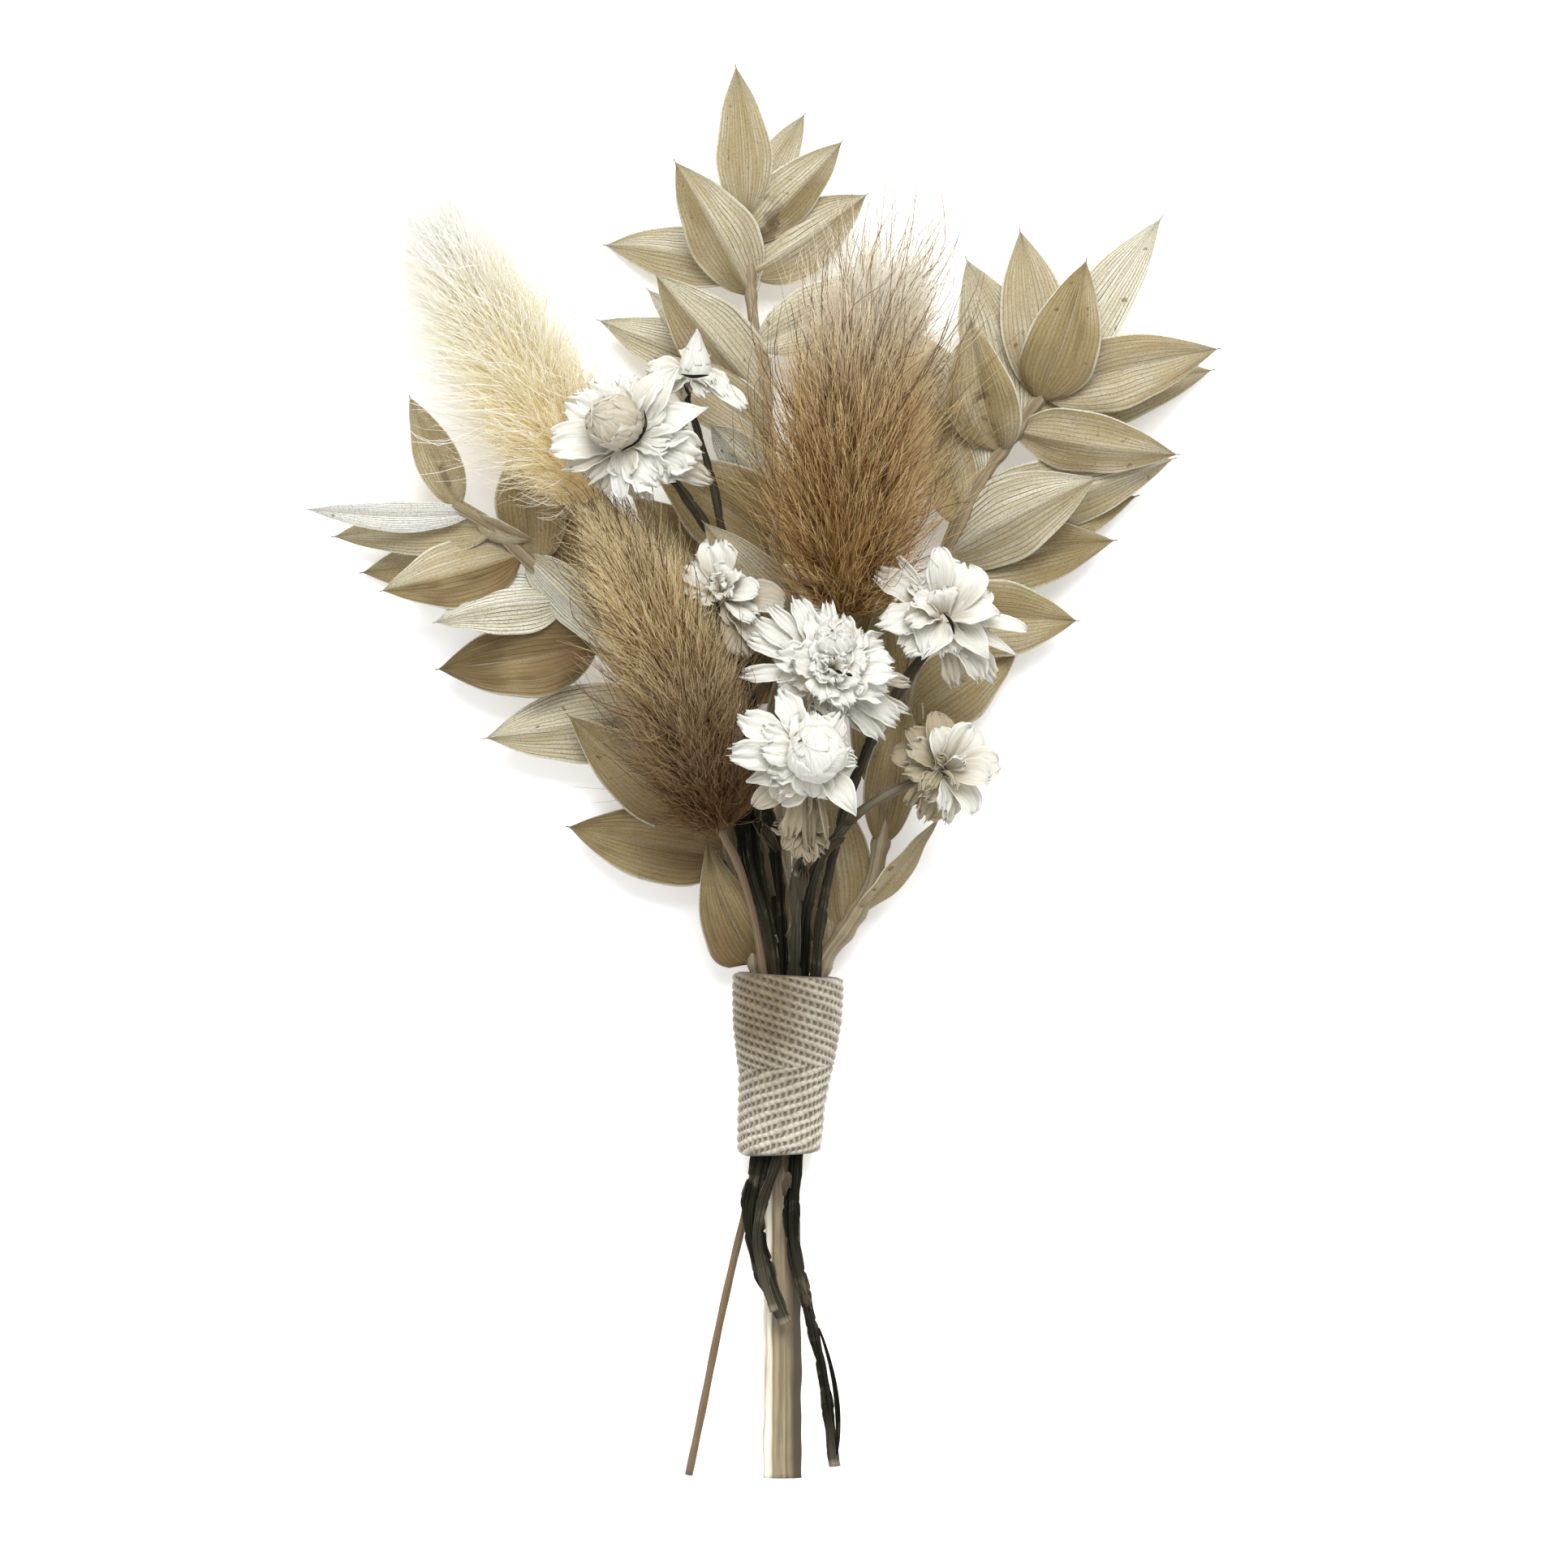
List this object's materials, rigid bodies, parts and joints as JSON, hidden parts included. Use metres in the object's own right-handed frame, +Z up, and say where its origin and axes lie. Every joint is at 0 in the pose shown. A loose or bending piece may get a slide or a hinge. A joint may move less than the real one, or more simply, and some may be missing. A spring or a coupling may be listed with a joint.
{
  "type": "boutonniere",
  "caption": "Dried-flower boutonniere lying on its back: bleached ruscus sprays, hare's-tail grass heads and white winged everlastings, stems bound with wound cotton tape.",
  "frame": {"origin": "on the surface the piece lies on, under the middle of the tape wrap", "axes": "+Y from the cut stem ends to the leaf tips, +X to the right as seen from the front, +Z up from the surface to the flowers' front"},
  "size_m": [0.1133, 0.1747, 0.0366],
  "materials": {
    "bleached_leaf": "dry, satin, finely veined",
    "cream_hair": "soft, matt",
    "brown_hair": "soft, matt",
    "dry_stalk": "smooth, dry",
    "dark_stem": "dry, wrinkled",
    "white_petal": "papery, matt",
    "cotton_tape": "twill weave"
  },
  "bodies": {
    "root": {"tape_wrap": "cotton_tape", "ruscus_centre": "bleached_leaf", "ruscus_right": "bleached_leaf", "ruscus_left": "bleached_leaf", "grass_head_cream": "cream_hair", "grass_stalk_cream": "dry_stalk", "grass_head_brown_left": "brown_hair", "grass_stalk_brown_left": "dry_stalk", "grass_head_brown_right": "brown_hair", "grass_stalk_brown_right": "dry_stalk", "everlasting_left_front": "white_petal", "everlasting_left_back": "white_petal", "everlasting_middle_back": "white_petal", "everlasting_middle": "white_petal", "everlasting_middle_front": "white_petal", "everlasting_middle_low": "white_petal", "everlasting_right_upper": "white_petal", "everlasting_right_lower": "white_petal", "winged_stem_left": "dark_stem", "winged_stem_grey": "dark_stem", "winged_stem_middle": "dark_stem", "winged_stem_right_low": "dark_stem", "winged_stem_right_high": "dark_stem"}
  },
  "joints": []
}
